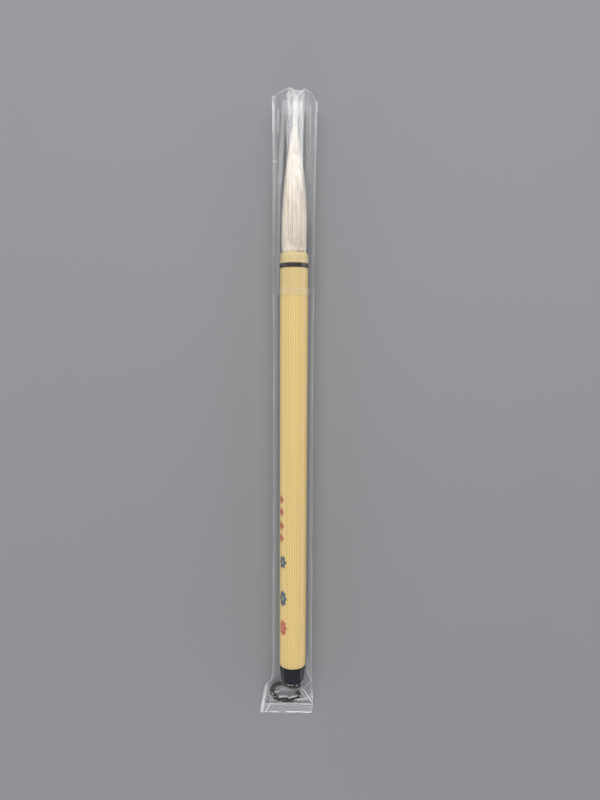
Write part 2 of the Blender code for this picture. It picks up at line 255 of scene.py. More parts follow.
def turn_piece(
    name: str,
    profile: np.ndarray,
    sides: int,
    axis_z: float,
    finish: "Finish",
    looped: bool = True,
    sink: np.ndarray | float = 0.0,
    sharp: float = 40.0,
) -> bpy.types.Object:
    """A profile turned round the brush's axis: (r sin a, y, axis + r cos a).

    Args:
        name: The piece's name.
        profile: One row (y, r) for each ring of the grid.
        sides: Columns round the axis, the first of them straight up and the next towards +X.
        axis_z: The axis's height.
        finish: The piece's finish.
        looped: Whether the last ring joins the first, where the profile keeps off the axis.
        sink: Taken off the radius, as one number or a grid of rings by columns.
        sharp: Edges that turn by more than this many degrees stay hard.

    Returns:
        The new object.
    """
    y, radius = profile[:, :1], profile[:, 1:] - sink
    turns = full_turn(sides)
    x = radius * np.sin(turns)
    z = axis_z + radius * np.cos(turns)
    points = np.stack([x, np.broadcast_to(y, x.shape), z], axis=-1).reshape(-1, 3)
    return make_piece(name, points, turned_faces(len(profile), sides, looped), finish.material(), sharp)


def settle(piece: bpy.types.Object, body: str, slot: str, *nodes: str) -> bpy.types.Object:
    """Rides a piece on its body, and stands it for its CAD nodes."""
    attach(piece, body)
    if nodes:
        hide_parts(*nodes)
    return piece


# --- Finishes -------------------------------------------------------------------------------------


class NodeSheet:
    """One material's nodes, with short ways to add and join them."""

    def __init__(self, name: str) -> None:
        """Starts an empty material with only its output."""
        self.material = bpy.data.materials.new(name)
        self.material.use_nodes = True
        self.tree = self.material.node_tree
        self.tree.nodes.clear()
        self.output = self.tree.nodes.new("ShaderNodeOutputMaterial")

    def add(self, kind: str, settings: dict | None = None, **sockets) -> bpy.types.Node:
        """Adds a node.

        Args:
            kind: The node's type, without its ShaderNode prefix.
            settings: The node's own properties.
            sockets: Its inputs, by name with _ for a space; a socket is linked, a value is set.

        Returns:
            The node.
        """
        node = self.tree.nodes.new("ShaderNode" + kind)
        for key, value in (settings or {}).items():
            setattr(node, key, value)
        for key, value in sockets.items():
            self.feed(node.inputs[key.replace("_", " ")], value)
        return node

    def feed(self, socket: bpy.types.NodeSocket, value) -> None:
        """Links a socket to another, or sets its own value."""
        if isinstance(value, bpy.types.NodeSocket):
            self.tree.links.new(value, socket)
        elif isinstance(value, tuple) and socket.type == "RGBA":
            socket.default_value = (*value, 1.0)
        else:
            socket.default_value = value

    def math(self, operation: str, *values) -> bpy.types.NodeSocket:
        """One step of arithmetic on numbers and sockets."""
        node = self.add("Math", {"operation": operation})
        for socket, value in zip(node.inputs, values):
            self.feed(socket, value)
        return node.outputs[0]

    def places(self, scale: tuple[float, float, float] = (1, 1, 1)) -> bpy.types.NodeSocket:
        """Object coordinates in metres, each multiplied by its scale."""
        source = self.add("TexCoord").outputs["Object"]
        return self.add("Mapping", None, Vector=source, Scale=scale).outputs[0]

    def noise(self, scale: tuple[float, float, float], detail: float = 3.0) -> bpy.types.NodeSocket:
        """Noise from 0 to 1 whose grain is 1 / scale metres along each axis."""
        return self.add("TexNoise", None, Vector=self.places(scale), Scale=1.0, Detail=detail).outputs[0]

    def stored(self, name: str) -> bpy.types.NodeSocket:
        """The numbers that add_values kept under a name."""
        return self.add("Attribute", {"attribute_name": name}).outputs["Fac"]

    def blend(self, factor, first, second) -> bpy.types.NodeSocket:
        """A colour between two others."""
        node = self.add("Mix", {"data_type": "RGBA"})
        for index, value in ((0, factor), (6, first), (7, second)):
            self.feed(node.inputs[index], value)
        return node.outputs[2]

    def between(self, value, low: float, high: float) -> bpy.types.NodeSocket:
        """A number from 0 to 1 spread from low to high."""
        return self.math("MULTIPLY_ADD", value, high - low, low)

    def ramp(self, value, source: tuple[float, float], target: tuple[float, float]) -> bpy.types.NodeSocket:
        """A number spread evenly from one range to another, and held at its ends."""
        ends = dict(From_Min=source[0], From_Max=source[1], To_Min=target[0], To_Max=target[1])
        return self.add("MapRange", None, Value=value, **ends).outputs[0]

    def bump(self, height, distance: float, strength: float = 1.0) -> bpy.types.NodeSocket:
        """A normal tilted by a height from 0 to 1 that stands for a distance."""
        return self.add("Bump", None, Height=height, Distance=distance, Strength=strength).outputs[0]

    def mix(self, share, first: bpy.types.Node, second: bpy.types.Node) -> bpy.types.Node:
        """A shader between two others."""
        node = self.add("MixShader", None, Fac=share)
        self.feed(node.inputs[1], first.outputs[0])
        self.feed(node.inputs[2], second.outputs[0])
        return node

    def principled(self, **sockets) -> bpy.types.Material:
        """Ends the material in one Principled shader."""
        return self.finish(self.add("BsdfPrincipled", None, **sockets))

    def finish(self, shader: bpy.types.Node) -> bpy.types.Material:
        """Joins the last shader to the output."""
        self.tree.links.new(shader.outputs[0], self.output.inputs["Surface"])
        return self.material


@dataclass(frozen=True)
class MouldedPlastic:
    """Moulded or extruded plastic: clouded colour, drawn streaks along the brush, a fine skin."""

    name: str
    colour: Colour
    shadow: Colour
    roughness: float
    # The groove colour is painted shade, laid in the grooves between the ribs.
    groove_shade_name: str = ""
    groove_shade_colour: Colour = (0.0, 0.0, 0.0)
    streak: float = 0.35
    skin: float = 0.004 * MM
    gloss: float = 0.5

    def material(self) -> bpy.types.Material:
        """Mixes the colour by streaks and clouds, darkens its grooves with painted shade, and roughens its
        skin.
        """
        sheet = NodeSheet(self.name)
        streaks = sheet.noise((2600, 18, 2600))
        clouds = sheet.noise((90, 60, 90), 2.0)
        share = sheet.math("MULTIPLY", sheet.math("ADD", streaks, clouds), self.streak)
        colour = sheet.blend(share, self.colour, self.shadow)
        # Painted shade in the grooves between the ribs.
        if self.groove_shade_name:
            colour = sheet.blend(sheet.stored(self.groove_shade_name), colour, self.groove_shade_colour)
        grain = sheet.noise((5200, 5200, 5200), 2.0)
        roughness = sheet.between(clouds, self.roughness - 0.06, self.roughness + 0.08)
        return sheet.principled(
            Base_Color=colour,
            Roughness=roughness,
            Specular_IOR_Level=self.gloss,
            Normal=sheet.bump(grain, self.skin),
        )


@dataclass(frozen=True)
class HairFinish:
    """Animal hair: each strand its own shade, streaked along its length, with a soft sheen."""

    name: str
    light: Colour
    dark: Colour
    # The root colour is a painted shade by the collar, fading out along the hair.
    root: Colour
    root_end: float
    root_shade_length: float = 14 * MM
    roughness: float = 0.42

    def material(self) -> bpy.types.Material:
        """Mixes light and dark by the strand's own number, and darkens the hair near its root with a painted
        shade.
        """
        sheet = NodeSheet(self.name)
        streaks = sheet.noise((3600, 30, 3600), 4.0)
        # On the strands this is each one's own tone; on the bundle it is how deep its groove is, painted
        # shade.
        tone_and_groove_shade = sheet.math("MULTIPLY", sheet.stored("strand"), 0.6)
        share = sheet.math("ADD", tone_and_groove_shade, sheet.between(streaks, -0.25, 0.6))
        colour = sheet.blend(sheet.math("MINIMUM", share, 1.0), self.light, self.dark)
        along = sheet.add("SeparateXYZ", None, Vector=sheet.places()).outputs["Y"]
        # Painted shade near the root, by the collar.
        root_shade = sheet.ramp(along, (self.root_end, self.root_end + self.root_shade_length), (0.55, 0.0))
        return sheet.principled(
            Base_Color=sheet.blend(root_shade, colour, self.root),
            Roughness=self.roughness,
            Sheen_Weight=0.25,
            Sheen_Roughness=0.4,
            Normal=sheet.bump(streaks, 0.03 * MM, 0.6),
        )


@dataclass(frozen=True)
class ClearSkin:
    """A clear sheet or wall that mirrors a little from the front and nearly all at a glance."""

    name: str
    tint: Colour
    front: float
    roughness: float
    grain: tuple[float, float, float]
    grain_depth: float
    haze: float
    whitening_and_glints: float = 0.0

    def material(self) -> bpy.types.Material:
        """Mixes see-through with gloss, from front to 0.9 by facing^5, and adds a milky white at its creases
        that also holds painted glints and reflections.
        """
        sheet = NodeSheet(self.name)
        facing = sheet.add("LayerWeight", None, Blend=0.5).outputs["Facing"]
        mirrored = sheet.between(sheet.math("POWER", facing, 5.0), self.front, 0.9)
        normal = sheet.bump(sheet.noise(self.grain, 2.0), self.grain_depth)
        see_through = sheet.add("BsdfTransparent", None, Color=self.tint)
        gloss = sheet.add("BsdfGlossy", None, Color=(1.0, 1.0, 1.0), Roughness=self.roughness, Normal=normal)
        milk = sheet.add("BsdfDiffuse", None, Color=(0.90, 0.90, 0.91))
        haze_and_glints = self.haze
        # The stored values add a milky white that is partly whitened plastic and partly painted glints and
        # reflection streaks.
        if self.whitening_and_glints:
            haze_and_glints = sheet.math("MULTIPLY_ADD", sheet.stored("crease"), self.whitening_and_glints, self.haze)
        return sheet.finish(sheet.mix(haze_and_glints, sheet.mix(mirrored, see_through, gloss), milk))


@dataclass(frozen=True)
class YarnFinish:
    """Twisted yarn: fibres in their own two shades, painted shade between the plies, and no gloss."""

    name: str
    light: Colour
    dark: Colour
    fibre: tuple[float, float, float] = (9000, 9000, 9000)

    def material(self) -> bpy.types.Material:
        """Mixes the shades by fine fibres, and by how deep a point lies between the plies as painted shade.
        """
        sheet = NodeSheet(self.name)
        fibres = sheet.noise(self.fibre, 4.0)
        # The dark colour also paints shade between the plies.
        share = sheet.math("ADD", sheet.stored("valley"), sheet.between(fibres, -0.3, 0.5))
        colour = sheet.blend(sheet.math("MINIMUM", share, 1.0), self.light, self.dark)
        return sheet.principled(
            Base_Color=colour,
            Roughness=sheet.between(fibres, 0.6, 0.85),
            Sheen_Weight=0.12,
            Sheen_Roughness=0.45,
            Normal=sheet.bump(fibres, 0.04 * MM),
        )


@dataclass(frozen=True)
class PrintInk:
    """Ink printed over the ribs, a little worn on their crowns."""

    name: str
    colour: Colour
    worn: Colour

    def material(self) -> bpy.types.Material:
        """Mixes the ink with the worn colour by fine specks."""
        sheet = NodeSheet(self.name)
        specks = sheet.noise((4200, 1800, 4200), 3.0)
        wear = sheet.ramp(specks, (0.5, 0.72), (0.0, 0.7))
        colour = sheet.blend(wear, self.colour, self.worn)
        return sheet.principled(Base_Color=colour, Roughness=sheet.between(specks, 0.4, 0.6))


@dataclass(frozen=True)
class FloorPaint:
    """A plain pale board with a faint cloudy tone."""

    colour: Colour = (0.25, 0.25, 0.263)

    def material(self) -> bpy.types.Material:
        """Varies the colour by a few per cent over a hand's width."""
        sheet = NodeSheet("pale_board")
        clouds = sheet.noise((6, 6, 6), 4.0)
        darker = tuple(0.93 * part for part in self.colour)
        colour = sheet.blend(clouds, self.colour, darker)
        grain = sheet.noise((1400, 1400, 1400), 2.0)
        return sheet.principled(Base_Color=colour, Roughness=0.62, Normal=sheet.bump(grain, 0.01 * MM))


class Finish(Enum):
    """The finishes of the brush, its cap and its sleeve."""

    RIBBED_CREAM = MouldedPlastic(
        "cream_ribbed_plastic_finish",
        colour=(0.84, 0.63, 0.26),
        shadow=(0.74, 0.53, 0.19),
        roughness=0.42,
        groove_shade_name="groove",
        # painted shade in the rib grooves
        groove_shade_colour=(0.32, 0.18, 0.045),
    )
    COLLAR_CREAM = MouldedPlastic(
        "cream_collar_plastic_finish",
        colour=(0.85, 0.68, 0.34),
        shadow=(0.76, 0.58, 0.25),
        roughness=0.36,
        groove_shade_name="groove",
        # painted shade in the rib grooves
        groove_shade_colour=(0.30, 0.18, 0.05),
    )
    GLOSS_BLACK = MouldedPlastic(
        "black_gloss_plastic_finish",
        colour=(0.008, 0.005, 0.006),
        shadow=(0.012, 0.008, 0.008),
        roughness=0.36,
        gloss=0.1,
    )
    END_BLACK = MouldedPlastic(
        "black_end_plastic_finish",
        colour=(0.009, 0.010, 0.015),
        shadow=(0.016, 0.018, 0.025),
        roughness=0.6,
        gloss=0.06,
    )
    GLUE = MouldedPlastic(
        "amber_glue_finish", colour=(0.52, 0.27, 0.07), shadow=(0.34, 0.15, 0.03), roughness=0.24, streak=0.5
    )
    GOAT_HAIR = HairFinish(
        "white_goat_hair_finish",
        light=(0.99, 0.90, 0.79),
        dark=(0.88, 0.73, 0.57),
        # painted shade by the collar
        root=(0.72, 0.62, 0.50),
        root_end=69 * MM,
    )
    CORE_HAIR = HairFinish(
        "stiff_core_hair_finish",
        light=(0.66, 0.52, 0.37),
        dark=(0.40, 0.28, 0.18),
        # painted shade by the collar
        root=(0.40, 0.28, 0.16),
        root_end=50 * MM,
    )
    THREAD = YarnFinish(
        "pale_thread_finish",
        light=(0.74, 0.70, 0.60),
        dark=(0.46, 0.42, 0.34),
        fibre=(3000, 9000, 3000),
    )
    CORD = YarnFinish("maroon_cord_finish", light=(0.024, 0.008, 0.009), dark=(0.007, 0.003, 0.004))
    CAP = ClearSkin(
        "clear_cap_plastic_finish",
        tint=(0.99, 0.992, 0.992),
        front=0.012,
        roughness=0.04,
        grain=(260, 40, 260),
        grain_depth=0.02 * MM,
        haze=0.012,
        # Its milky white at the mouth and lip edges is painted glint.
        whitening_and_glints=0.6,
    )
    FILM = ClearSkin(
        "clear_film_finish",
        tint=(0.99, 0.992, 0.992),
        front=0.027,
        roughness=0.06,
        grain=(700, 260, 700),
        grain_depth=0.02 * MM,
        haze=0.003,
        # Its milky white is partly creased film and partly painted glints and reflection streaks.
        whitening_and_glints=0.85,
    )
    RED_INK = PrintInk("red_print_finish", colour=(0.42, 0.06, 0.032), worn=(0.70, 0.42, 0.22))
    BLUE_INK = PrintInk("blue_print_finish", colour=(0.013, 0.047, 0.105), worn=(0.30, 0.33, 0.28))

    def material(self) -> bpy.types.Material:
        """The finish's material, made the first time that it is asked for."""
        if self not in MADE:
            MADE[self] = self.value.material()
        return MADE[self]


MADE: dict[Finish, bpy.types.Material] = {}


# --- Studio ---------------------------------------------------------------------------------------


@dataclass
class Studio:
    """The camera, the soft lights, the even surroundings and the floor.

    A softbox is (name, place, the point that it faces, size, watts). There is one over the hair end,
    one beyond the butt end and a long one on each side.
    """

    camera_place: Point = (0.00267, 0.029, 0.3126)
    camera_tilt: float = -4.2
    camera_roll: float = 0.273
    lens: float = 31.725
    sensor: float = 36.0
    surroundings: Colour = (0.25, 0.255, 0.265)
    floor_drop: float = 0.15 * MM
    floor_half: float = 2.5
    softboxes: tuple[tuple[str, Point, Point, tuple[float, float], float], ...] = (
        ("hair_end_box", (0.0, 0.46, 1.0), (0.0, 0.06, 0.0), (1.8, 0.26), 11.2),
        ("butt_end_box", (-0.12, -0.9, 0.55), (0.0, -0.06, 0.0), (0.5, 0.3), 2.4),
        ("left_strip", (-1.1, 0.0, 0.42), (0.0, 0.0, 0.01), (2.2, 0.5), 4.6),
        ("right_strip", (1.1, 0.0, 0.42), (0.0, 0.0, 0.01), (2.2, 0.5), 5.2),
    )

    def set_camera(self) -> None:
        """Looks nearly straight down on the brush, with its hair at the top of the frame."""
        data = bpy.data.cameras.new("camera")
        data.sensor_width = self.sensor
        data.lens = self.lens
        data.clip_start = 0.01
        camera = bpy.data.objects.new("camera", data)
        camera.location = self.camera_place
        camera.rotation_euler = (math.radians(self.camera_tilt), 0.0, math.radians(self.camera_roll))
        bpy.context.scene.collection.objects.link(camera)
        bpy.context.scene.camera = camera

    def add_softbox(
        self, name: str, place: Point, aim: Point, size: tuple[float, float], power: float
    ) -> None:
        """Adds a rectangular light at a place, turned to face a point."""
        data = bpy.data.lights.new(name, "AREA")
        data.shape = "RECTANGLE"
        data.size, data.size_y = size
        data.energy = power
        light = bpy.data.objects.new(name, data)
        offset = np.array(aim) - np.array(place)
        flat = math.hypot(offset[0], offset[1])
        light.location = place
        light.rotation_euler = (math.atan2(flat, -offset[2]), 0.0, math.atan2(-offset[0], offset[1]))
        bpy.context.scene.collection.objects.link(light)

    def light(self) -> None:
        """Adds the softboxes, and the even light that comes from all round."""
        for softbox in self.softboxes:
            self.add_softbox(*softbox)
        world = bpy.data.worlds.new("surroundings")
        world.use_nodes = True
        world.node_tree.nodes["Background"].inputs["Color"].default_value = (*self.surroundings, 1.0)
        bpy.context.scene.world = world
        bpy.context.scene.view_settings.view_transform = "Standard"

    def lay_floor(self) -> None:
        """A flat square just under the sleeve."""
        half = self.floor_half
        corners = np.array([(-half, -half), (half, -half), (half, half), (-half, half)])
        points = np.column_stack([corners, np.full(4, -self.floor_drop)])
        floor = make_piece("floor", points, [[0, 1, 2, 3]], FloorPaint().material(), closed=False)


# --- The brush ------------------------------------------------------------------------------------


@dataclass
class HangingLoop:
    """The cord that is folded in two, knotted in the plug and laid round in the sleeve's end.

    The route's points are those of the CAD tube, in millimetres. The cord runs out beside the
    route, round the bight and back along the route's other side.
    """

    diameter: float = 1.0 * MM
    strand_spacing: float = 1.06 * MM
    bight_radius: float = 2.1 * MM
    bight_flare: float = 6.0 * MM
    plies: int = 3
    ply_depth: float = 0.2
    twist_pitch: float = 2.4 * MM
    sides: int = 18
    step: float = 0.16 * MM
    knot_strand: float = 0.46 * MM
    route: tuple[Point, ...] = (
        (0.0, -105.6, 8.0),
        (0.0, -112.0, 8.0),
        (0.0, -119.2, 8.0),
        (0.6, -122.0, 7.4),
        (1.8, -124.4, 5.8),
        (2.6, -126.8, 3.9),
        (2.5, -129.0, 2.4),
        (1.2, -130.7, 1.5),
        (-1.4, -131.3, 1.2),
        (-4.4, -131.2, 1.2),
        (-7.1, -130.4, 1.3),
        (-8.8, -128.7, 1.5),
        (-9.2, -126.6, 1.6),
        (-8.4, -124.7, 1.5),
        (-6.5, -123.6, 1.4),
        (-3.8, -123.4, 1.3),
        (-1.0, -123.7, 1.2),
        (1.2, -124.0, 1.2),
    )

    def centreline(self) -> np.ndarray:
        """The cord's whole path.

        Each side keeps half the strand spacing from the route, measured level and square to it.
        Near the end the two sides part smoothly until the bight, a half circle, can join them.
        """
        spacing = 0.25 * MM
        route = evenly_spaced(smooth_curve(np.array(self.route)) * MM, spacing)
        heading = np.gradient(route, axis=0)
        heading[:, 2] = 0.0
        heading = unit(heading)
        side = np.stack([heading[:, 1], -heading[:, 0], np.zeros(len(route))], axis=1)
        to_end = spacing * np.arange(len(route))[::-1]
        share = 1 - smooth_step(to_end, 0.0, self.bight_flare)
        narrow = self.strand_spacing / 2
        half = (narrow + (self.bight_radius - narrow) * share)[:, None]
        turn = np.linspace(0, math.pi, 16)[1:-1, None]
        bight = route[-1] + self.bight_radius * (np.cos(turn) * side[-1] + np.sin(turn) * heading[-1])
        return evenly_spaced(np.vstack([route + half * side, bight, (route - half * side)[::-1]]), self.step)

    def tube(self, name: str, path: np.ndarray, radius: float, looped: bool) -> bpy.types.Object:
        """A cord of twisted plies along a path.

        At a distance s along the path and an angle a round it, the radius is
        R (1 - depth (1 - |cos(plies (a - 2 pi s / pitch) / 2)|)), so the plies turn once in a pitch.

        Args:
            name: The piece's name.
            path: The points that it follows.
            radius: The plies' outer radius.
            looped: Whether the path's end joins its start.

        Returns:
            The cord, with how deep each point lies between the plies kept as "valley".
        """
        if looped:
            ahead = np.roll(path, -1, axis=0) - np.roll(path, 1, axis=0)
            along = np.arange(len(path)) * np.linalg.norm(path[1] - path[0])
        else:
            ahead = np.gradient(path, axis=0)
            along = distances(path)
        ahead = unit(ahead)
        across = unit(np.cross(ahead, (0.0, 0.0, 1.0)))
        upward = np.cross(across, ahead)
        angle = full_turn(self.sides)[None, :]
        swing = self.plies * (angle - TURN * along[:, None] / self.twist_pitch) / 2
        valley = 1 - np.abs(np.cos(swing))
        reach = (radius * (1 - self.ply_depth * valley))[..., None]
        ring = np.cos(angle)[..., None] * across[:, None] + np.sin(angle)[..., None] * upward[:, None]
        points = path[:, None] + reach * ring
        faces = turned_faces(len(path), self.sides, looped)
        piece = make_piece(name, points.reshape(-1, 3), faces, Finish.CORD.material(), sharp=75)
        # How deep each point lies between the plies, which the finish darkens as painted shade.
        add_values(piece, "valley", valley**2)
        return piece

    def build_cord(self) -> None:
        """The cord itself, from the plug's mouth round and back."""
        path = self.centreline()
        cord = self.tube("hanging_loop_cord", path, self.diameter / 2, False)
        settle(cord, "brush", "maroon_cord", "hanging_loop")

    def build_knot(self) -> None:
        """An overhand knot drawn tight: the trefoil (sin t + 2 sin 2t, -sin 3t, cos t - 2 cos 2t)."""
        low, high = (np.array(corner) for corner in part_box("loop_knot"))
        middle, half = (low + high) / 2, (high - low) / 2 - self.knot_strand
        t = full_turn(240)
        x, z = np.sin(t) + 2 * np.sin(2 * t), np.cos(t) - 2 * np.cos(2 * t)
        trefoil = np.column_stack([x, -np.sin(3 * t), z])
        path = middle + trefoil / np.abs(trefoil).max(axis=0) * half
        knot = self.tube("cord_knot", path, self.knot_strand, True)
        settle(knot, "brush", "maroon_cord", "loop_knot")


@dataclass
class Handle:
    """The ribbed tube."""

    columns_per_rib: int = 8
    rib_depth: float = 0.10 * MM
    chamfer: float = 0.5 * MM
    eased: float = 0.12 * MM
    bore: float = 4.0 * MM
    counterbore: float = 5.1 * MM
    counterbore_length: float = 12.75 * MM
    front_radius: float = 6.0 * MM
    back_radius: float = 5.7 * MM
    length_steps: int = 56
    bore_margin: float = 6 * MM

    def __post_init__(self) -> None:
        """Reads the tube's place from the CAD node."""
        self.place = node_span("handle_tube")

    def outer_radius(self, y: np.ndarray) -> np.ndarray:
        """The rib crowns' radius, which shrinks evenly from the front end to the back one."""
        return np.interp(y, [self.place.back, self.place.front], [self.back_radius, self.front_radius])

    def build(self) -> None:
        """The tube's outside, its chamfered back end, its bore and its wider front socket."""
        front, back = self.place.front, self.place.back
        y = np.linspace(front - self.eased, back + self.chamfer, self.length_steps)
        outside = np.column_stack([y, self.outer_radius(y)])
        seat = front - self.counterbore_length
        end = [
            (back + self.eased, self.back_radius - self.chamfer + self.eased),
            (back, self.back_radius - self.chamfer),
            (back, self.bore),
            (back + self.bore_margin, self.bore),
            (seat - self.bore_margin, self.bore),
            (seat, self.bore),
            (seat, self.counterbore),
            (front, self.counterbore),
            (front, self.outer_radius(front) - self.eased),
        ]
        profile = np.vstack([outside, end])
        sides = RIBS * self.columns_per_rib
        ribbed = np.zeros(len(profile))
        ribbed[: self.length_steps] = 1.0
        ribbed[self.length_steps] = 0.5
        groove = ribbed[:, None] * rib_groove(full_turn(sides))
        tube = turn_piece(
            "handle_ribbed_tube",
            profile,
            sides,
            self.place.axis_z,
            Finish.RIBBED_CREAM,
            sink=self.rib_depth * groove,
            sharp=50,
        )
        # How deep each point lies between the ribs, which the finish darkens as painted shade.
        add_values(tube, "groove", groove**1.5 * 0.8)
        settle(tube, "brush", "cream_ribbed_plastic", "handle_tube")


class Motif(Enum):
    """The printed ornaments: (petals, depth between petals, half width, half length)."""

    LOZENGE = (4, 0.38, 1.8 * MM, 1.9 * MM)
    SMALL_ROSETTE = (6, 0.42, 2.3 * MM, 3.0 * MM)
    ROSETTE = (8, 0.35, 2.4 * MM, 3.7 * MM)


@dataclass
class PrintedOrnaments:
    """A row of plain flower shapes printed along the upper left of the handle."""

    handle: Handle
    lift: float = 0.03 * MM
    thickness: float = 0.02 * MM
    hole: float = 0.25
    disc: float = 0.18
    rings: int = 10
    spokes: int = 120

    def flower(self, motif: Motif, turn: float, y: float) -> tuple[np.ndarray, np.ndarray]:
        """One ornament: a petalled band round a hole, and a disc in the hole, laid on the ribs.

        The band's edge is at 1 - depth (1 - |cos(petals p / 2)|) of the motif's half sizes, where p
        is the angle round its middle. The hole and the disc are shares of the same half sizes.

        Args:
            motif: The ornament.
            turn: Where its middle lies round the handle, from straight up towards +X.
            y: Where its middle lies along the handle.

        Returns:
            Its points and faces.
        """
        petals, depth, half_width, half_length = motif.value
        around = full_turn(self.spokes)[None, :]
        edge = 1 - depth * (1 - np.abs(np.cos(petals * around / 2)))
        band = self.hole + (edge - self.hole) * np.linspace(0, 1, self.rings)[:, None]
        disc = np.linspace(0.02, self.disc, self.rings // 2)[:, None] * np.ones_like(around)
        reach = np.vstack([band, disc])
        turns = turn + reach * half_width * np.cos(around) / self.handle.front_radius
        places = y + reach * half_length * np.sin(around)
        radius = self.handle.outer_radius(places) - self.handle.rib_depth * rib_groove(turns) + self.lift
        x = radius * np.sin(turns)
        z = self.handle.place.axis_z + radius * np.cos(turns)
        band_faces = grid_faces(self.rings, self.spokes)
        disc_faces = grid_faces(self.rings // 2, self.spokes) + self.rings * self.spokes
        middle = self.rings * self.spokes + np.arange(self.spokes)
        faces = band_faces.tolist() + disc_faces.tolist() + [middle[::-1].tolist()]
        return np.stack([x, places, z], axis=-1).reshape(-1, 3), faces

    def print_row(self, name: str, finish: Finish, marks: list[tuple[Motif, float, float]]) -> None:
        """Prints several ornaments in one ink: (motif, degrees from the top, Y in millimetres)."""
        points, faces, count = [], [], 0
        for motif, degrees, y in marks:
            some_points, some_faces = self.flower(motif, math.radians(degrees), y * MM)
            points.append(some_points)
            faces += [[count + corner for corner in face] for face in some_faces]
            count += len(some_points)
        piece = make_piece(name, np.vstack(points), faces, finish.material(), closed=False)
        skin = piece.modifiers.new("Ink", "SOLIDIFY")
        skin.thickness = self.thickness
        skin.offset = 1.0
        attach(piece, "brush")

    def build(self) -> None:
        """Four small red marks, two blue ones and a last red one, towards the butt end."""
        red = [(Motif.LOZENGE, -61.0, y) for y in (-36.4, -42.0, -48.1, -53.4)]
        red.append((Motif.ROSETTE, -49.0, -93.2))
        blue = [(Motif.SMALL_ROSETTE, -51.0, -63.9), (Motif.ROSETTE, -50.0, -80.1)]
        self.print_row("red_ornaments", Finish.RED_INK, red)
        self.print_row("blue_ornaments", Finish.BLUE_INK, blue)


@dataclass
class Ferrule:
    """The collar that holds the hair, and the black ring behind it."""

    sides: int = 288
    rib_depth: float = 0.05 * MM
    round_radius: float = 1.2 * MM
    mouth: float = 5.3 * MM
    flare: float = 3.0 * MM
    spigot: float = 4.8 * MM
    socket: float = 4.1 * MM
    socket_floor: float = 1.0 * MM
    middle: float = 0.01 * MM
    eased: float = 0.15 * MM
    ring_gap: float = 0.3 * MM
    ring_bore: float = 5.1 * MM
    ring_crown: float = 0.03 * MM
    ring_round: float = 0.25 * MM

    def build_collar(self) -> None:
        """From the socket's floor up its wall, over the rounded lip, down the outside to the spigot."""
        place = node_span("hair_collar")
        lip, foot = place.front, place.back
        radius = place.radius
        shoulder = node_span("black_ring").front + self.ring_gap
        floor = foot + self.socket_floor
        inside = [
            (floor, self.middle),
            (floor, self.socket),
            (lip - self.flare, self.socket),
            (lip, self.mouth),
        ]
        lip_round = arc(lip - self.round_radius, radius - self.round_radius, self.round_radius, (20, 90), 10)
        body = np.linspace(lip - self.round_radius - 0.2 * MM, shoulder + self.eased, 12)
        outside = np.column_stack([body, np.full_like(body, radius)])
        end = [
            (shoulder, radius - self.eased),
            (shoulder, self.spigot),
            (foot, self.spigot),
            (foot, self.middle),
        ]
        profile = np.vstack([inside, lip_round, outside, end])
        ribbed = smooth_step(lip - profile[:, 0], 0.4 * MM, 1.6 * MM)
        ribbed *= (profile[:, 1] > radius - 0.1 * MM) & (profile[:, 0] > shoulder)
        groove = ribbed[:, None] * rib_groove(full_turn(self.sides))
        collar = turn_piece(
            "collar_with_socket",
            profile,
            self.sides,
            place.axis_z,
            Finish.COLLAR_CREAM,
            looped=False,
            sink=self.rib_depth * groove,
        )
        # How deep each point lies between the ribs, which the finish darkens as painted shade.
        add_values(collar, "groove", groove * 0.7)
        settle(collar, "brush", "cream_collar_plastic", "hair_collar")

    def build_ring(self) -> None:
        """A slightly crowned band with its edges eased."""
        place = node_span("black_ring")
        front, back = place.front, place.back
        radius = place.radius
        outline = [
            (front, self.ring_bore),
            (front, radius),
            ((front + back) / 2, radius + self.ring_crown),
            (back, radius),
            (back, self.ring_bore),
        ]
        profile = round_corners(np.array(outline), self.ring_round)
        ring = turn_piece("black_ring_band", profile, self.sides, place.axis_z, Finish.GLOSS_BLACK)
        settle(ring, "brush", "black_gloss_plastic", "black_ring")


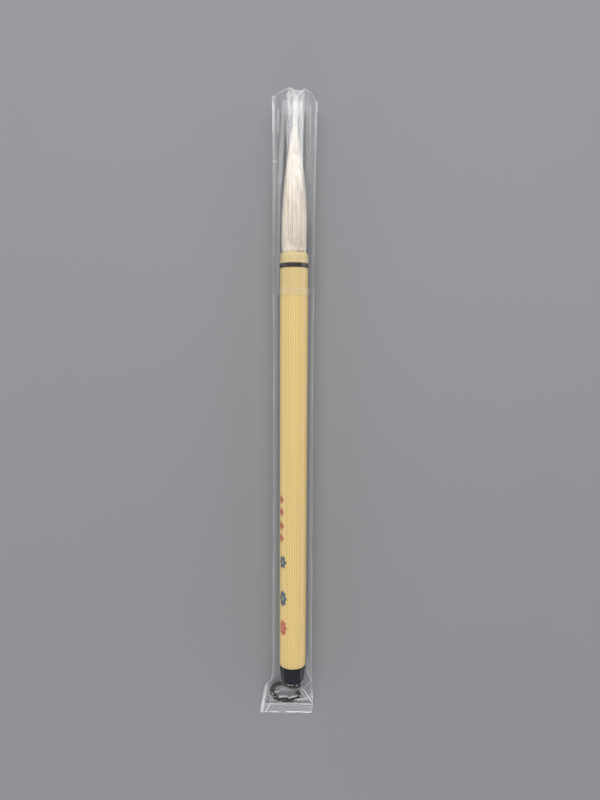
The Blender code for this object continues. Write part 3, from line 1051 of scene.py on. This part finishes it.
@dataclass
class Tuft:
    """The long outer hair as a grooved body under fine strands, and what holds it inside.

    The outline is (distance from the collar's lip, radius) in millimetres, down to the point.
    """

    outline: tuple[tuple[float, float], ...] = (
        (-3.0, 3.8),
        (0.0, 5.0),
        (1.5, 5.2),
        (13.0, 5.1),
        (21.0, 4.85),
        (29.5, 4.3),
        (37.6, 3.25),
        (45.7, 2.0),
        (53.8, 0.95),
        (56.0, 0.4),
        (57.0, 0.12),
    )
    root: tuple[tuple[float, float], ...] = ((-8.7, 3.0), (-13.3, 3.0), (-14.7, 3.6), (-15.0, 3.6))
    hollow: tuple[tuple[float, float], ...] = (
        (-15.0, 1.9),
        (-9.0, 1.9),
        (14.4, 2.5),
        (33.4, 0.7),
        (34.0, 0.01),
    )
    sides: int = 240
    strands: int = 1500
    strand_points: int = 13
    strand_radius: float = 0.075 * MM
    seed: int = 7

    def __post_init__(self) -> None:
        """Reads where the lip, the axis and the hair's point are from the CAD nodes."""
        collar = node_span("hair_collar")
        self.lip = collar.front
        self.axis_z = collar.axis_z
        self.tip = node_span("outer_hair").front

    def radius(self, distance: np.ndarray) -> np.ndarray:
        """The outline's radius at a distance from the lip, read from a smooth curve through it."""
        knots, radii = np.array(self.outline).T
        return steady_curve(distance / MM, knots, radii) * MM

    def build_body(self) -> None:
        """The bundle's mass: grooves run along it, deeper towards the point, where it is bundled.

        The radius is sunk by the sum of |sin| waves of three counts round the bundle, each of
        which wanders a little from side to side along the hair. The hair finish darkens the grooves
        by their depth, a painted shade.
        """
        reach = (self.tip - self.lip) / MM
        length = np.linspace(reach - 0.2, self.outline[0][0], 90)
        outside = np.column_stack([length, self.radius(length * MM) / MM])
        profile = np.vstack([[(reach, 0.02)], outside, self.root, self.hollow]) * MM
        distance = profile[:, :1].copy()
        profile[:, 0] += self.lip
        turns = full_turn(self.sides)
        waves = sum(
            np.abs(np.sin(count * turns / 2 + bend * np.sin(distance / (9 * MM) + bend)))
            for count, bend in ((11, 1.3), (26, 2.1), (61, 3.2))
        )
        grooved = (0.04 + 0.05 * smooth_step(distance, 10 * MM, 50 * MM)) * profile[:, 1:]
        grooved[len(outside) + 1 :] = 0.0
        body = turn_piece(
            "outer_hair_bundle",
            profile,
            self.sides,
            self.axis_z,
            Finish.GOAT_HAIR,
            looped=False,
            sink=grooved * (3 - waves) / 2,
            sharp=80,
        )
        # How deep each groove is, which the hair finish darkens as painted shade.
        add_values(body, "strand", (3 - waves) / 3)
        settle(body, "brush", "white_goat_hair", "outer_hair")

    def build_strands(self) -> None:
        """Fine tapered strands over the bundle.

        A strand keeps to one angle round the bundle but for a slow wave, lies at its own share of
        the outline's radius, and ends at its own length. Its section is a triangle that shrinks to
        the end, and every strand has the same few faces.
        """
        chance = np.random.default_rng(self.seed)
        count, steps = self.strands, self.strand_points
        share = np.linspace(0, 1, steps)[None, :]
        reach = self.tip - self.lip
        start = -chance.uniform(0.5, 1.2, (count, 1)) * MM
        length = reach * (1 - 0.55 * chance.random((count, 1)) ** 3.2)
        distance = start + (length - start) * share**0.9
        turn = chance.uniform(0, TURN, (count, 1))
        sway = chance.normal(0, 0.05, (count, 1)) * np.sin(share * chance.uniform(2, 6, (count, 1)))
        drift = chance.normal(0, 0.16, (count, 1)) * share**2
        angle = turn + sway + drift
        level = chance.uniform(0.955, 1.02, (count, 1)) + 0.02 * np.sin(share * 5 + turn * 3)
        lie = level * self.radius(distance) - self.strand_radius * 0.3
        x = lie * np.sin(angle)
        z = self.axis_z + lie * np.cos(angle)
        path = np.stack([x, self.lip + distance, z], axis=-1)
        thickness = self.strand_radius * chance.uniform(0.6, 1.15, (count, 1)) * (1 - 0.8 * share**2)
        thickness = np.minimum(thickness, 0.3 * np.maximum(lie, 0.02 * MM))
        corner = TURN * np.arange(3) / 3
        spread = np.stack([np.sin(corner), np.zeros(3), np.cos(corner)], axis=-1)
        points = path[:, :, None] + thickness[..., None, None] * spread
        one = turned_faces(steps, 3, False)
        first = (np.arange(count) * steps * 3)[:, None, None]
        quads, caps = np.array(one[:-2]) + first, np.array(one[-2:]) + first
        faces = quads.reshape(-1, 4).tolist() + caps.reshape(-1, 3).tolist()
        hair = Finish.GOAT_HAIR.material()
        piece = make_piece("outer_hair_strands", points.reshape(-1, 3), faces, hair, sharp=180)
        shade = chance.random((count, 1, 1)) ** 1.6
        add_values(piece, "strand", np.broadcast_to(shade, (count, steps, 3)))
        settle(piece, "brush", "white_goat_hair")

    def dress_inside(self) -> None:
        """Finishes for the core hair, its binding and its glue, whose CAD shapes stay."""
        inside = {"core_hair": Finish.CORE_HAIR, "root_binding": Finish.THREAD, "root_glue": Finish.GLUE}
        for node, finish in inside.items():
            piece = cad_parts[node]
            piece.data.materials.clear()
            piece.data.materials.append(finish.material())
            log.info("%s keeps its CAD shape", node)


@dataclass
class EndPlug:
    """The black plug: a stem in the handle, and a tapered head with a cord hole."""

    sides: int = 160
    front_radius: float = 5.6 * MM
    back_radius: float = 5.0 * MM
    round_radius: float = 1.8 * MM
    stem: float = 3.7 * MM
    pocket: float = 2.7 * MM
    cord_hole: float = 1.45 * MM
    head_gap: float = 0.3 * MM
    eased: float = 0.12 * MM

    def build(self) -> None:
        """From the stem's mouth down its outside, over the head's round, and back up the cord hole."""
        place = node_span("end_plug")
        stem_end, end = place.front, place.back
        eased = self.eased
        shoulder = node_span("handle_tube").back - self.head_gap
        pocket_floor = node_span("loop_knot").back - self.head_gap
        outside = [
            (stem_end, self.stem - eased),
            (stem_end - eased, self.stem),
            (shoulder, self.stem),
            (shoulder, self.front_radius - eased),
            (shoulder - eased, self.front_radius),
        ]
        round_y = end + self.round_radius
        round_r = self.back_radius - self.round_radius
        head_round = arc(round_y, round_r, self.round_radius, (90, 180), 14)
        inside = [
            (end, self.cord_hole + 2 * eased),
            (end + 2 * eased, self.cord_hole),
            (pocket_floor, self.cord_hole),
            (pocket_floor, self.pocket),
            (stem_end, self.pocket),
        ]
        profile = np.vstack([outside, head_round, inside])
        plug = turn_piece(
            "end_plug_moulding", profile, self.sides, place.axis_z, Finish.END_BLACK, sharp=30
        )
        settle(plug, "brush", "black_end_plastic", "end_plug")


# --- What the brush is packed in ------------------------------------------------------------------


@dataclass
class ClearCap:
    """The clear tapered cap, closed at the hair's end, with a lip round its mouth."""

    sides: int = 144
    wall: float = 0.6 * MM
    lip_radius: float = 7.5 * MM
    lip_width: float = 2.1 * MM
    mouth_radius: float = 7.2 * MM
    end_radius: float = 6.05 * MM
    round_radius: float = 3.0 * MM
    gate_radius: float = 0.9 * MM
    gate_height: float = 0.25 * MM
    middle: float = 0.02 * MM
    edge_glint: float = 0.35 * MM

    def build(self) -> None:
        """From the gate mark at its closed end over the outside to the lip, and back inside."""
        place = node_span("clear_cap")
        mouth, end = place.back, place.front
        lip_back = mouth + self.lip_width
        crown = end - self.gate_height
        centre_y = crown - self.round_radius
        centre_r = self.end_radius - self.round_radius
        gate = [
            (end, self.middle),
            (end, self.gate_radius * 0.85),
            (crown, self.gate_radius),
            (crown, centre_r - 0.3 * MM),
        ]
        shrink = self.round_radius - self.wall
        outer_round = arc(centre_y, centre_r, self.round_radius, (0, 90), 14)
        inner_round = arc(centre_y, centre_r, shrink, (90, 0), 14)
        side = np.linspace(centre_y, lip_back + 0.5 * MM, 24)[1:]
        taper = np.interp(side, [lip_back, centre_y], [self.mouth_radius, self.end_radius])
        inside_radius = self.mouth_radius - self.wall
        lip = [
            (lip_back + 0.15 * MM, self.mouth_radius + 0.03 * MM),
            (lip_back, self.lip_radius - 0.12 * MM),
            (lip_back - 0.15 * MM, self.lip_radius),
            ((lip_back + mouth) / 2, self.lip_radius + 0.02 * MM),
            (mouth + 0.2 * MM, self.lip_radius),
            (mouth + 0.05 * MM, self.lip_radius - 0.08 * MM),
            (mouth, self.lip_radius - 0.25 * MM),
            (mouth, inside_radius + 0.15 * MM),
            (mouth + 0.2 * MM, inside_radius),
        ]
        outside = np.column_stack([side, taper])
        inside = outside[::-1] - (0.0, self.wall)
        floor = [(centre_y + shrink, self.middle)]
        profile = np.vstack([gate, outer_round, outside, lip, inside, inner_round, floor])
        cap = turn_piece(
            "clear_cap_moulding", profile, self.sides, place.axis_z, Finish.CAP, looped=False, sharp=30
        )
        along = np.broadcast_to(profile[:, :1], (len(profile), self.sides))
        # Painted glints round the mouth and the lip's back edge, and a whiter band over the closed end, kept
        # for the milky layer.
        edges = sum(bell(along - edge, self.edge_glint) for edge in (mouth, lip_back))
        closed = smooth_step(along, end - 1.2 * MM, end - 0.2 * MM)
        add_values(cap, "crease", 0.17 * edges + 0.35 * closed)
        settle(cap, "cap", "clear_cap_plastic", "clear_cap")


@dataclass
class Fold:
    """A ridge pressed in the film's upper sheet, from one point (X, Y) to another, in millimetres.

    Its height at a distance d from the line is height * exp(-d / width), a sharp crest, or
    height * exp(-(d / width)^2) where it is rolled. A band along it is white * exp(-(d / line)^4)
    white, softer with a square where it is rolled; this band is partly the whitened film of the fold
    and partly a painted glint, and where the height is nought it is only a painted reflection streak.
    Both change evenly between its two ends, and fade out past them.
    """

    start: tuple[float, float]
    end: tuple[float, float]
    heights: tuple[float, float]
    width: float
    # whitened film and painted glint along the fold, at its two ends
    white: tuple[float, float] = (0.0, 0.0)
    rolled: bool = False
    line: float = 0.16

    def raise_at(self, x: np.ndarray, y: np.ndarray) -> tuple[np.ndarray, np.ndarray]:
        """How far the fold lifts the film at points (x, y), in millimetres, and how white it is with
        whitened film and painted glint.
        """
        start, end = np.array(self.start), np.array(self.end)
        length = np.linalg.norm(end - start)
        ahead = (end - start) / length
        along = ((x - start[0]) * ahead[0] + (y - start[1]) * ahead[1]) / length
        off = np.abs((x - start[0]) * ahead[1] - (y - start[1]) * ahead[0])
        crest = bell(off, self.width, 2 if self.rolled else 1)
        fade = smooth_step(along, -0.1, 0.12) * (1 - smooth_step(along, 0.88, 1.1))
        height = np.interp(along, [0, 1], self.heights)
        # Whitened film and painted glint along the fold.
        white = np.maximum(np.interp(along, [0, 1], self.white), 0)
        band = bell(off, self.line, 2 if self.rolled else 4)
        return height * crest * fade, white * band * fade


@dataclass
class FilmSleeve:
    """The thin clear bag: sealed flat behind the loop, and cut open past the cap's end.

    Stations are (Y, left edge, right edge, height) in millimetres. The two edges are the creases
    along which the bag was pressed flat, and beside each crease the two layers lie together as a
    narrow fin. The mouth's cut is (X, Y) in millimetres. The plain stretch has the widest rows. The
    film hangs free in the pocket round the loop and where it flares at the mouth, by the looseness,
    and there it is crinkled too.
    """

    stations: tuple[tuple[float, float, float, float], ...] = (
        (-137.8, -14.8, 8.7, 0.3),
        (-133.9, -14.3, 9.3, 0.3),
        (-133.0, -14.2, 9.3, 1.6),
        (-131.5, -13.9, 9.2, 3.9),
        (-129.5, -13.6, 9.2, 4.8),
        (-126.0, -13.0, 9.0, 6.3),
        (-123.5, -12.5, 8.8, 8.4),
        (-121.0, -11.2, 8.8, 11.8),
        (-119.3, -9.7, 8.8, 13.9),
        (-117.0, -9.2, 8.7, 14.5),
        (-111.0, -8.8, 8.6, 14.7),
        (-98.0, -8.9, 8.6, 14.8),
        (-20.0, -8.8, 8.4, 14.9),
        (40.0, -8.9, 8.4, 15.4),
        (50.0, -9.1, 8.6, 16.1),
        (75.0, -9.2, 8.6, 16.1),
        (100.0, -9.2, 8.9, 16.2),
        (137.0, -9.6, 9.6, 16.2),
    )
    upper_cut: tuple[tuple[float, float], ...] = (
        (-9.6, 134.8),
        (-7.3, 133.7),
        (-1.5, 135.3),
        (-0.6, 134.2),
        (2.8, 134.0),
        (4.3, 135.1),
        (6.9, 134.0),
        (8.5, 132.8),
        (9.6, 132.4),
    )
    lower_cut: tuple[tuple[float, float], ...] = ((-9.6, 134.8), (-4.0, 135.4), (5.0, 135.6), (9.6, 132.4))
    folds: tuple[Fold, ...] = (
        Fold((-11.6, -122.0), (-13.4, -132.0), (1.5, 1.2), 1.0, (0.5, 0.85), rolled=True, line=0.75),
        Fold((-13.3, -131.2), (-14.0, -137.6), (1.0, 0.4), 0.9, (0.8, 0.45), rolled=True, line=0.75),
        Fold((-9.9, -131.8), (-10.6, -124.0), (0.4, 0.4), 0.4, (0.5, 0.3), line=0.18),
        Fold((4.6, -120.6), (8.6, -119.6), (0.9, 0.6), 0.6, (0.8, 0.9), line=0.22),
        Fold((4.2, -121.6), (9.4, -132.8), (1.6, 0.6), 0.7, (0.9, 1.0), line=0.2),
        Fold((3.2, -123.0), (6.4, -129.4), (0.6, 0.4), 0.5, (0.5, 0.8)),
        Fold((6.2, -112.0), (8.2, -119.0), (0.5, 0.4), 0.5, (0.15, 0.35), line=0.25),
        Fold((6.5, -106.0), (7.3, -115.0), (0.2, 0.2), 0.5, (0.1, 0.2), line=0.6),
        Fold((-1.8, -128.2), (2.4, -127.2), (0.5, 0.5), 0.5, (0.9, 0.7), line=0.3),
        Fold((1.4, -129.3), (6.2, -129.1), (0.7, 0.5), 0.5, (1.0, 0.8), line=0.22),
        Fold((-8.2, -125.5), (-5.4, -123.8), (0.6, 0.6), 0.5, (0.9, 0.5), line=0.22),
        Fold((-6.3, -128.0), (-2.2, -127.2), (0.3, 0.3), 0.8, (0.55, 0.35), line=0.6),
        Fold((-5.2, -119.2), (-2.4, -123.4), (0.8, 0.6), 0.5, (0.5, 0.6), line=0.2),
        Fold((-3.6, -121.2), (4.2, -121.0), (0.5, 0.5), 0.5, (0.35, 0.55), line=0.25),
        Fold((-10.2, -133.2), (-12.3, -137.5), (0.35, 0.35), 0.4, (0.9, 0.9), line=0.2),
        Fold((-3.4, -137.0), (8.4, -137.6), (0.25, 0.4), 0.35, (0.5, 1.0), line=0.22),
        Fold((-1.4, 135.0), (-1.4, 112.0), (-0.3, -0.12), 0.3),
        Fold((1.85, 135.0), (1.9, 100.0), (-0.3, -0.15), 0.3),
        # These three have no height: they are painted reflection streaks along the cap's crown.
        Fold((0.35, 134.6), (0.35, 88.0), (0.0, 0.0), 1.0, (0.95, -0.35), line=1.35),
        Fold((2.85, 134.2), (2.9, 92.0), (0.0, 0.0), 0.6, (0.6, 0.35), line=0.8),
        Fold((-2.35, 134.6), (-2.35, 112.0), (0.0, 0.0), 0.6, (0.5, 0.2), line=0.6),
        Fold((-4.1, 133.0), (-6.3, 95.0), (0.1, 0.1), 1.0, (0.25, 0.36), line=1.0),
        Fold((-6.3, 95.0), (-6.9, 52.0), (0.1, 0.1), 0.5, (0.3, 0.1), line=0.6),
        Fold((5.9, 134.0), (6.0, 80.0), (0.1, 0.1), 1.0, (0.2, 0.1), line=1.9),
        Fold((6.6, 131.0), (6.5, 96.0), (0.25, 0.2), 0.4, (0.35, 0.15), line=0.22),
        Fold((-9.0, 134.0), (-8.9, 119.0), (0.1, 0.1), 0.4, (0.5, 0.3), line=0.6),
        Fold((-6.8, 128.5), (-6.9, 117.0), (0.2, 0.2), 0.4, (0.5, 0.3), line=0.45),
        Fold((-9.5, 108.8), (-7.3, 106.4), (0.4, 0.3), 0.3, (0.9, 0.9)),
        Fold((-7.6, 116.0), (-7.9, 66.0), (0.2, 0.15), 0.4, (0.4, 0.25)),
        Fold((-7.5, 66.0), (-7.6, -96.0), (0.12, 0.12), 0.3, (0.2, 0.12)),
        Fold((7.7, 80.0), (7.5, -104.0), (0.12, 0.12), 0.3, (0.2, 0.2)),
    )
    flat_width: float = 25 * MM
    upper_columns: int = 160
    lower_columns: int = 80
    fin: float = 0.8
    mouth_fins: tuple[float, float] = (1.7, 0.9)
    fin_height: float = 0.12
    seal_start: float = -133.6
    floor_gap: float = 0.03
    plain_stretch: tuple[float, float] = (-108.0, 88.0)
    pocket_front: tuple[float, float] = (-128.0, -112.0)
    mouth_flare: tuple[float, float] = (84.0, 128.0)
    looseness: float = 0.45
    crinkle_mean: float = 0.36
    pocket_crinkle: float = 0.9
    pocket_pitch: float = 5.0
    mouth_crinkle: float = 0.3
    mouth_pitch: float = 7.0
    least_gap: float = 0.05
    fade_to_crease: float = 0.9

    def rows(self) -> np.ndarray:
        """Y in millimetres of each row, close together at the two ends and wider between them."""
        butt, mouth = self.plain_stretch
        return np.concatenate(
            [
                np.linspace(self.stations[0][0], butt, 140, endpoint=False),
                np.linspace(butt, mouth, 90, endpoint=False),
                np.linspace(mouth, self.stations[-1][0], 120),
            ]
        )

    def half_section(self, across: np.ndarray, reach: np.ndarray, radius: np.ndarray) -> np.ndarray:
        """A half circle round the middle, and straight from where it ends to the crease.

        A line from the crease touches a circle of radius R at a distance R^2 / D from the middle.
        Inside it the height is sqrt(R^2 - x^2), and outside it (D - x) R / sqrt(D^2 - R^2).

        Args:
            across: Distances from the middle.
            reach: The crease's distance D.
            radius: The circle's radius R.

        Returns:
            Heights over the crease.
        """
        circle = np.sqrt(np.maximum(radius**2 - across**2, 0))
        line = (reach - across) * radius / np.sqrt(reach**2 - radius**2)
        return np.where(across < radius**2 / reach, circle, np.maximum(line, 0))

    def flattened(self, across: np.ndarray, reach: np.ndarray, height: np.ndarray) -> np.ndarray:
        """A squarer half section, height (1 - (x / D)^3)^(1/3), where the film hangs free."""
        return height * np.maximum(1 - (across / reach) ** 3, 0) ** (1 / 3)

    def crinkle(self, x: np.ndarray, y: np.ndarray, size: float, seed: int) -> np.ndarray:
        """Fine creases: the mean of 1 - |sin| waves that run seven ways, each crest a sharp line."""
        chance = np.random.default_rng(seed)
        total = np.zeros_like(x)
        for heading, phase, pitch in chance.uniform(0, 1, (7, 3)):
            wave = TURN / (size * (0.6 + 1.2 * pitch)) / 2
            way = math.pi * heading
            across = x * math.cos(way) + y * math.sin(way)
            bend = 0.6 * np.sin(0.8 * x + 5 * phase) + 0.5 * np.cos(0.6 * y + 3 * heading)
            total += 1 - np.abs(np.sin(wave * across + bend + TURN * phase))
        return total / 7

    def surface(self) -> tuple[np.ndarray, np.ndarray]:
        """The whole bag as a grid of rows along it by columns round it.

        Column angle t puts a point at X = middle + D cos t, on the upper sheet to half a turn and
        on the lower one after it.

        Returns:
            The points in millimetres, and how white each one is, painted glints included.
        """
        knots, *edges = np.array(self.stations).T
        y = self.rows()[:, None]
        left, right, height = (steady_curve(y, knots, edge) for edge in edges)
        radius = np.maximum(height, self.stations[0][3]) / 2
        in_pocket = 1 - smooth_step(y, *self.pocket_front)
        at_mouth = smooth_step(y, *self.mouth_flare)
        middle = in_pocket * (left + right) / 2
        above = np.linspace(0, math.pi, self.upper_columns, endpoint=False)
        below = np.linspace(math.pi, TURN, self.lower_columns, endpoint=False)
        t = np.concatenate([above, below])[None, :]
        upper = np.arange(t.size)[None, :] <= self.upper_columns
        rightward = np.cos(t) >= 0
        reach = np.where(rightward, right - middle, middle - left)
        x = middle + reach * np.cos(t)
        across = reach * np.abs(np.cos(t))
        to_edge = reach - across

        fin_width = self.fin + at_mouth * (np.where(rightward, *self.mouth_fins[::-1]) - self.fin)
        snug = self.half_section(across, np.maximum(reach - self.fin, 1.03 * radius), radius)
        loose = self.flattened(across, reach - fin_width, radius)
        free = self.looseness * np.maximum(at_mouth, in_pocket)
        lift = snug + free * (loose - snug) + self.fin_height * np.minimum(to_edge / self.fin, 1)

        pocket = smooth_step(y, self.seal_start, -130.0) * (1 - smooth_step(y, -121.0, -112.0))
        creased = self.crinkle(x, y, self.pocket_pitch, seed=3)
        rumpled = self.crinkle(x, y, self.mouth_pitch, seed=5)
        raised, white = zip(*(fold.raise_at(x, y) for fold in self.folds))
        relief = sum(raised) + self.slack(x, y)
        relief = relief + self.pocket_crinkle * pocket * (creased - self.crinkle_mean)
        relief = relief + self.mouth_crinkle * at_mouth * (rumpled - self.crinkle_mean)
        over = radius + lift + smooth_step(to_edge, 0.0, self.fade_to_crease) * relief
        under = np.maximum(radius - 1.05 * snug, self.floor_gap)
        z = np.where(upper, np.maximum(over, under + self.least_gap), under)
        hang = np.abs(np.cos(t)) ** 10 * (1 - in_pocket)
        z = z + hang * (0.35 * np.sin(y / 17) + 0.2 * np.sin(y / 6.1) - 1.2)

        upper_end, lower_end = (np.interp(x, *np.array(cut).T) for cut in (self.upper_cut, self.lower_cut))
        end = np.where(upper, upper_end, lower_end)
        shifted = y + (end - knots[-1]) * smooth_step(y, 124.0, knots[-1])
        # A painted glint along the cut edge, stronger on the upper sheet, added to the fold whites.
        cut_glint = bell(y - knots[-1], 0.3)
        fold_white_and_cut_glint = np.where(upper, sum(white) + 0.6 * cut_glint, 0.1 * cut_glint)
        crinkled = upper * (pocket * creased + self.mouth_crinkle * at_mouth * rumpled)
        white_and_painted_glints = self.white_and_painted_glints(x, y, to_edge, fold_white_and_cut_glint, crinkled)
        return np.stack(np.broadcast_arrays(x, shifted, z), axis=-1), white_and_painted_glints

    def slack(self, x: np.ndarray, y: np.ndarray) -> np.ndarray:
        """The slow waves of the film over the handle and the cap, none of them in the pocket."""
        waves = 0.05 * np.sin(y / 9.3 + 1.1 * x) + 0.05 * np.abs(np.sin(1.3 * x + 0.8 * np.sin(y / 29)))
        return waves * (1 - smooth_step(-y, 108.0, 122.0))

    def white_and_painted_glints(
        self, x: np.ndarray, y: np.ndarray, to_edge: np.ndarray, fold_white_and_cut_glint: np.ndarray, crinkled: np.ndarray
    ) -> np.ndarray:
        """How white the film is, from 0 to 1: its whitened creases, seal, folds and cut, with painted glints
        and reflection lines along its side creases, folds, seal edges, cut and crinkles.

        Args:
            x: Each point's X in millimetres.
            y: Each row's Y in millimetres, before the mouth's cut.
            to_edge: How far each point is from its side crease.
            fold_white_and_cut_glint: The whiteness of the folds and of the cut.
            crinkled: How much a point belongs to a fine crease.

        Returns:
            One number for each point.
        """
        patchy = 0.6 + 0.4 * np.sin(y / 5.7 + 1.3 * np.sin(y / 2.1)) * np.sin(y / 31)
        # Painted reflection lines along the side creases, patchy along the film.
        side = (0.45 + 0.3 * smooth_step(y, 60.0, 110.0)) * bell(to_edge, 0.16) * patchy
        fin = (0.03 + 0.11 * smooth_step(y, 70.0, 100.0)) * bell(to_edge, 1.6, 4)
        sealed = 1 - smooth_step(y, self.seal_start - 0.3, self.seal_start)
        streaks = 0.5 + 0.5 * np.sin(TURN * y / 1.1 + 0.7 * np.sin(0.9 * x)) * np.sin(0.5 * x + y)
        # Painted glints along the seal's inner and outer edges.
        inner_seal_glint = bell(y - self.seal_start, 0.22)
        outer_seal_glint = bell(y - self.stations[0][0] - 0.25, 0.25) * (0.5 + 0.5 * np.sin(0.8 * x + 1.9))
        total = side + fin + fold_white_and_cut_glint + 0.25 * sealed * streaks + 0.8 * inner_seal_glint + 0.7 * outer_seal_glint
        return np.clip(total + 0.35 * np.maximum(crinkled - 0.55, 0), 0, 1)

    def sealed_end(self) -> list[list[int]]:
        """Faces that join the two layers across the first row.

        The upper sheet has two columns for each one of the lower sheet, so that a face has three
        corners on the upper sheet and two on the lower one.
        """
        whole = self.upper_columns + self.lower_columns
        m = np.arange(1, self.lower_columns - 1)
        faces = np.column_stack([2 * m, 2 * m + 1, 2 * m + 2, whole - m - 1, whole - m]).tolist()
        last = self.upper_columns
        return faces + [[0, 1, 2, whole - 1], [last - 2, last - 1, last, last + 1]]

    def build(self) -> None:
        """The bag as one open-mouthed sheet, with its two layers joined across the sealed end."""
        points, white = self.surface()
        faces = grid_faces(*points.shape[:2]).tolist() + self.sealed_end()
        finish = Finish.FILM.material()
        film = make_piece("film_sleeve_bag", points.reshape(-1, 3) * MM, faces, finish, sharp=70)
        # The stored values are whitened film together with painted glints and reflection lines.
        add_values(film, "crease", white)
        settle(film, "sleeve", "clear_film", "film_sleeve")


def main() -> None:
    """Builds the studio, then the cord, then every other piece, and logs each one."""
    logging.basicConfig(level=logging.INFO, format="%(name)s: %(message)s", stream=sys.stdout)
    studio = Studio()
    studio.set_camera()
    loop = HangingLoop()
    loop.build_cord()
    loop.build_knot()
    handle = Handle()
    handle.build()
    PrintedOrnaments(handle).build()
    ferrule = Ferrule()
    ferrule.build_collar()
    ferrule.build_ring()
    tuft = Tuft()
    tuft.build_body()
    tuft.build_strands()
    tuft.dress_inside()
    EndPlug().build()
    ClearCap().build()
    FilmSleeve().build()
    studio.lay_floor()
    studio.light()


if __name__ == "__main__":
    main()
